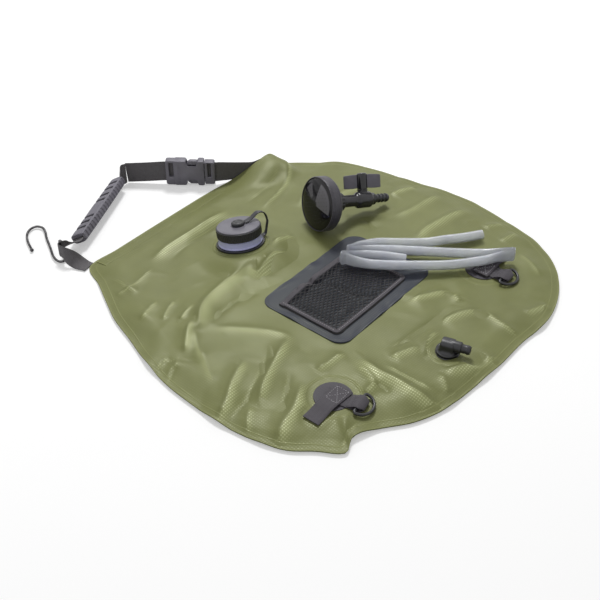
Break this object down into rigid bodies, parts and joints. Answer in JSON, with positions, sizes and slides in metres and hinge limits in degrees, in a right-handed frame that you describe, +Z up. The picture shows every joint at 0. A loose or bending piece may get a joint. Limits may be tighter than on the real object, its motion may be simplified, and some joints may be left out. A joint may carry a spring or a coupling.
{
  "type": "camp shower bag",
  "caption": "Flat lying camp shower bag with a screw filler, outlet elbow, net pocket, carrying strap with hook, shower head with a tap, and a folded hose.",
  "frame": {"origin": "middle of the bag's underside, on the floor that it lies on", "axes": "+Z up, +Y toward the top edge with the strap, +X along that edge to the right"},
  "size_m": [0.5061, 0.5979, 0.0773],
  "materials": {
    "olive_fabric": "satin",
    "black_plastic": "satin",
    "gloss_black": "gloss",
    "grey_plastic": "satin",
    "pale_grey_plastic": "satin",
    "clear_blue_plastic": "gloss",
    "clear_hose": "gloss",
    "webbing": "matt",
    "patch": "satin",
    "net": "matt",
    "seal_rubber": "matt",
    "grip_rubber": "matt",
    "dark_steel": "satin"
  },
  "bodies": {
    "bag": {"back_panel": "olive_fabric", "front_panel": "olive_fabric", "top_hem": "olive_fabric", "filler_disc": "olive_fabric", "filler_neck": "clear_blue_plastic", "tether_ring": "black_plastic", "cap_tether": "black_plastic", "outlet_flange": "black_plastic", "outlet_seal": "seal_rubber", "anchor_disc_left": "webbing", "anchor_disc_right": "webbing", "web_loop_left": "webbing", "web_loop_right": "webbing", "flap_strap_left": "webbing", "flap_strap_right": "webbing", "pocket_patch": "patch", "pocket_border": "patch", "pocket_net": "net"},
    "tether_loop": {"tether_eye": "black_plastic"},
    "cap": {"filler_cap": "black_plastic", "cap_plate": "pale_grey_plastic", "cap_gasket": "seal_rubber", "cap_button": "black_plastic"},
    "elbow": {"outlet_elbow": "gloss_black"},
    "ring_left": {"d_ring_left": "gloss_black"},
    "ring_right": {"d_ring_right": "gloss_black"},
    "carry_left": {"strap_left": "webbing"},
    "grip_sleeve": {"grip": "grip_rubber"},
    "hanging_hook": {"hook": "dark_steel"},
    "buckle_end": {"buckle_socket": "grey_plastic", "strap_run": "webbing"},
    "carry_right": {"strap_right": "webbing", "buckle_plug": "grey_plastic"},
    "shower_head": {"rose_nut": "gloss_black", "rose_washer": "seal_rubber", "valve_body": "gloss_black", "ball_seat_front": "pale_grey_plastic", "ball_seat_back": "pale_grey_plastic", "stem_packing": "seal_rubber", "hose_tail": "gloss_black"},
    "rose": {"rose_body": "black_plastic", "rose_face": "gloss_black"},
    "tap": {"valve_ball": "pale_grey_plastic", "valve_stem": "black_plastic", "tap_lever": "gloss_black"},
    "hose_coil": {"hose": "clear_hose"}
  },
  "joints": [
    {"name": "cap_lift", "type": "slide", "parent": "bag", "child": "tether_loop", "axis": [0.0756, 0.1991, 0.977], "range_m": [0, 0.012], "deforming": ["cap_tether"]},
    {"name": "cap_turn", "type": "hinge", "parent": "tether_loop", "child": "cap", "pos_m": [-0.0203, 0.1205, 0.0095], "axis": [0.0756, 0.1991, 0.977], "range_deg": [0, 720]},
    {"name": "elbow_swivel", "type": "hinge", "parent": "bag", "child": "elbow", "pos_m": [-0.022, -0.184, 0.007], "axis": [0, 0, 1], "range_deg": [-90, 90]},
    {"name": "ring_left_swing", "type": "hinge", "parent": "bag", "child": "ring_left", "pos_m": [-0.14876, -0.16034, 0.0119], "axis": [-0.9781, -0.2079, 0], "range_deg": [0, 150]},
    {"name": "ring_right_swing", "type": "hinge", "parent": "bag", "child": "ring_right", "pos_m": [0.13105, -0.16498, 0.0119], "axis": [-0.9994, -0.0349, 0], "range_deg": [0, 150]},
    {"name": "strap_left_swing", "type": "hinge", "parent": "bag", "child": "carry_left", "pos_m": [-0.165, 0.2382, 0.0011], "axis": [0.9966, -0.0513, 0.0638], "range_deg": [0, 80]},
    {"name": "strap_right_swing", "type": "hinge", "parent": "bag", "child": "carry_right", "pos_m": [-0.165, 0.2382, 0.0011], "axis": [0.9966, -0.0513, 0.0638], "range_deg": [0, 80]},
    {"name": "grip_slide", "type": "slide", "parent": "carry_left", "child": "grip_sleeve", "axis": [0.8959, 0.4443, 0], "range_m": [-0.003, 0.0015]},
    {"name": "hook_swing", "type": "hinge", "parent": "carry_left", "child": "hanging_hook", "pos_m": [-0.173, 0.277, 0.01], "axis": [0, 0, 1], "range_deg": [-20, 40]},
    {"name": "buckle_release", "type": "slide", "parent": "carry_left", "child": "buckle_end", "axis": [-0.6157, 0.788, 0], "range_m": [0, 0.04]},
    {"name": "head_lift", "type": "slide", "parent": "bag", "child": "shower_head", "axis": [0, 0, 1], "range_m": [0, 0.2]},
    {"name": "rose_turn", "type": "hinge", "parent": "shower_head", "child": "rose", "pos_m": [0.067, 0.071, 0.0446], "axis": [0.9185, -0.3127, -0.2419], "range_deg": [-180, 180]},
    {"name": "tap_turn", "type": "hinge", "parent": "shower_head", "child": "tap", "pos_m": [0.13359, 0.04833, 0.02706], "axis": [0.3535, 0.3756, 0.8567], "range_deg": [-58, 32]},
    {"name": "hose_lift", "type": "slide", "parent": "bag", "child": "hose_coil", "axis": [0, 0, 1], "range_m": [0, 0.15]}
  ],
  "couplings": [
    {"joint": "cap_turn", "follows": "cap_lift", "rad_per_m": 1047},
    {"joint": "strap_right_swing", "follows": "strap_left_swing", "ratio": 1}
  ]
}
